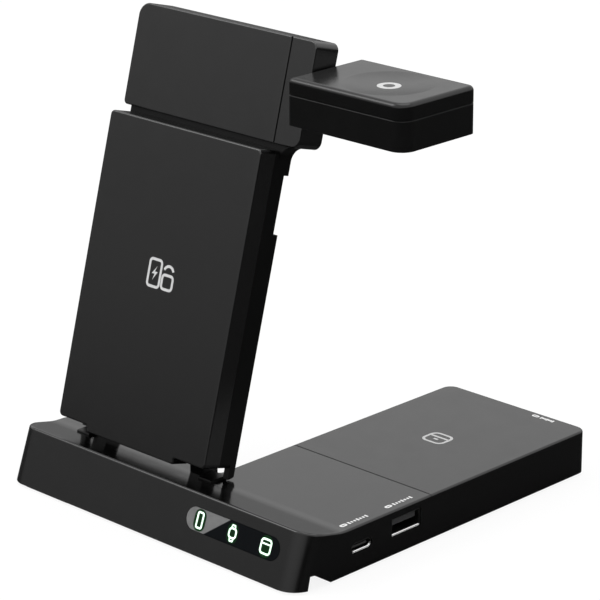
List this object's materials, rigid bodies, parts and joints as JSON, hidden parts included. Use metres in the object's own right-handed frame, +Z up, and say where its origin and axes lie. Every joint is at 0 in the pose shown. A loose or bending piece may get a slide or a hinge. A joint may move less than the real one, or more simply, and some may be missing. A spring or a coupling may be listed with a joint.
{
  "type": "wireless charging station",
  "caption": "Folding charging station: L-shaped base with a charging pad and sockets, leaning phone panel on a folding arm, and a tilting watch platform.",
  "frame": {"origin": "on the standing surface, under the middle of the whole station's outline", "axes": "+X to the right along the front bar, +Y to the rear, +Z up"},
  "size_m": [0.137, 0.1386, 0.1546],
  "materials": {
    "black_housing": "satin black moulded ABS, fine even surface",
    "black_panel": "smooth satin black covers that reflect softly",
    "matte_black": "matt black moulded plastic",
    "rubber": "matt black rubber",
    "steel": "zinc plated steel",
    "smoked_window": "clear dark smoked acrylic",
    "circuit_board": "green solder mask",
    "led": "milky light emitting package",
    "socket_metal": "nickel plated sheet",
    "socket_plastic": "black socket insulator",
    "copper": "enamelled copper winding",
    "ferrite": "sintered ferrite sheet",
    "bronze": "sintered bronze",
    "magnet": "nickel plated magnet"
  },
  "bodies": {
    "base": {"base_case": "black_housing", "pad_cover": "black_panel", "bottom_cover": "matte_black", "rubber_feet": "rubber", "base_screws": "steel", "indicator_window": "smoked_window", "light_mask": "matte_black", "led_board": "circuit_board", "indicator_leds": "led", "main_board": "circuit_board", "board_screws": "steel", "usb_c_output_shell": "socket_metal", "usb_c_output_tongue": "socket_plastic", "usb_a_output_shell": "socket_metal", "usb_a_output_tongue": "socket_plastic", "power_inlet_shell": "socket_metal", "power_inlet_tongue": "socket_plastic", "pad_coil": "copper", "pad_ferrite": "ferrite", "hinge_bushes": "bronze"},
    "arm": {"arm_case": "black_housing", "phone_panel": "black_panel", "head_cover": "black_panel", "head_end_cap": "black_housing", "phone_coil": "copper", "phone_ferrite": "ferrite", "arm_board": "circuit_board", "hinge_pin": "steel", "hinge_plug": "rubber", "friction_washers": "steel", "tilt_bush": "bronze"},
    "watch_platform": {"watch_case": "black_housing", "watch_top": "black_panel", "watch_coil": "copper", "watch_ferrite": "ferrite", "watch_magnet": "magnet", "watch_shaft": "steel", "shaft_nut": "steel", "shaft_washer": "steel"}
  },
  "joints": [
    {"name": "arm_fold", "type": "hinge", "parent": "base", "child": "arm", "pos_m": [-0.0227, -0.0446, 0.02275], "axis": [-1, 0, 0], "range_deg": [0, 73]},
    {"name": "watch_tilt", "type": "hinge", "parent": "arm", "child": "watch_platform", "pos_m": [0.02045, -0.01222, 0.13701], "axis": [1, 0, 0], "range_deg": [0, 74.9]}
  ]
}
